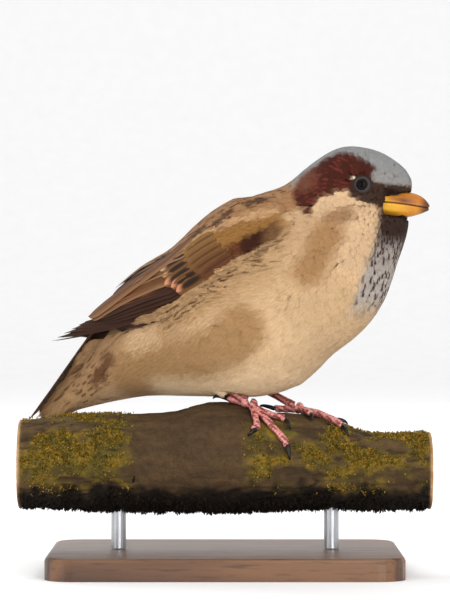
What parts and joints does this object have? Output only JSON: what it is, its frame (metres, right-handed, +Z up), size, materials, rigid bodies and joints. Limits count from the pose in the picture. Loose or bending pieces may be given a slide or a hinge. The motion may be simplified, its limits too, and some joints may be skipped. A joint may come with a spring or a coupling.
{
  "type": "house sparrow model",
  "caption": "Life-size still model of a male house sparrow crouched on a short mossy branch, over a plain flat display stand.",
  "frame": {"origin": "centre of the underside of the stand's base", "axes": "+Z up, +X along the branch towards the bird's bill, +Y to the bird's far side"},
  "size_m": [0.132, 0.078, 0.1354],
  "materials": {
    "grey_crown": "soft ash-grey feathers",
    "chestnut": "soft chestnut and buff feathers",
    "buff": "soft warm buff feathers",
    "wing_brown": "brown wing coverts with buff fringes",
    "flight_brown": "dark flight feathers with buff edges",
    "tail_brown": "dark brown tail feathers with pale edges",
    "bill_yellow": "satin horn, yellow with a dark tip",
    "eye_black": "wet gloss",
    "leg_pink": "matte scaly skin",
    "claw_black": "satin horn",
    "bark": "rough mossy bark, sawn ends",
    "base_wood": "dark satin varnish",
    "rod_steel": "brushed"
  },
  "bodies": {
    "root": {"head": "grey_crown", "neck": "chestnut", "trunk": "buff", "tail": "tail_brown", "wing_left_coverts": "wing_brown", "wing_right_coverts": "wing_brown", "wing_left_flight": "flight_brown", "wing_right_flight": "flight_brown", "bill_upper": "bill_yellow", "bill_lower": "bill_yellow", "eye_left": "eye_black", "eye_right": "eye_black", "leg_left_tarsus": "leg_pink", "leg_right_tarsus": "leg_pink", "foot_left": "leg_pink", "foot_right": "leg_pink", "claw_left_hind": "claw_black", "claw_left_inner": "claw_black", "claw_left_middle": "claw_black", "claw_left_outer": "claw_black", "claw_right_hind": "claw_black", "claw_right_inner": "claw_black", "claw_right_middle": "claw_black", "claw_right_outer": "claw_black", "perch_branch": "bark", "stand_base": "base_wood", "stand_rod_1": "rod_steel", "stand_rod_2": "rod_steel"}
  },
  "joints": []
}
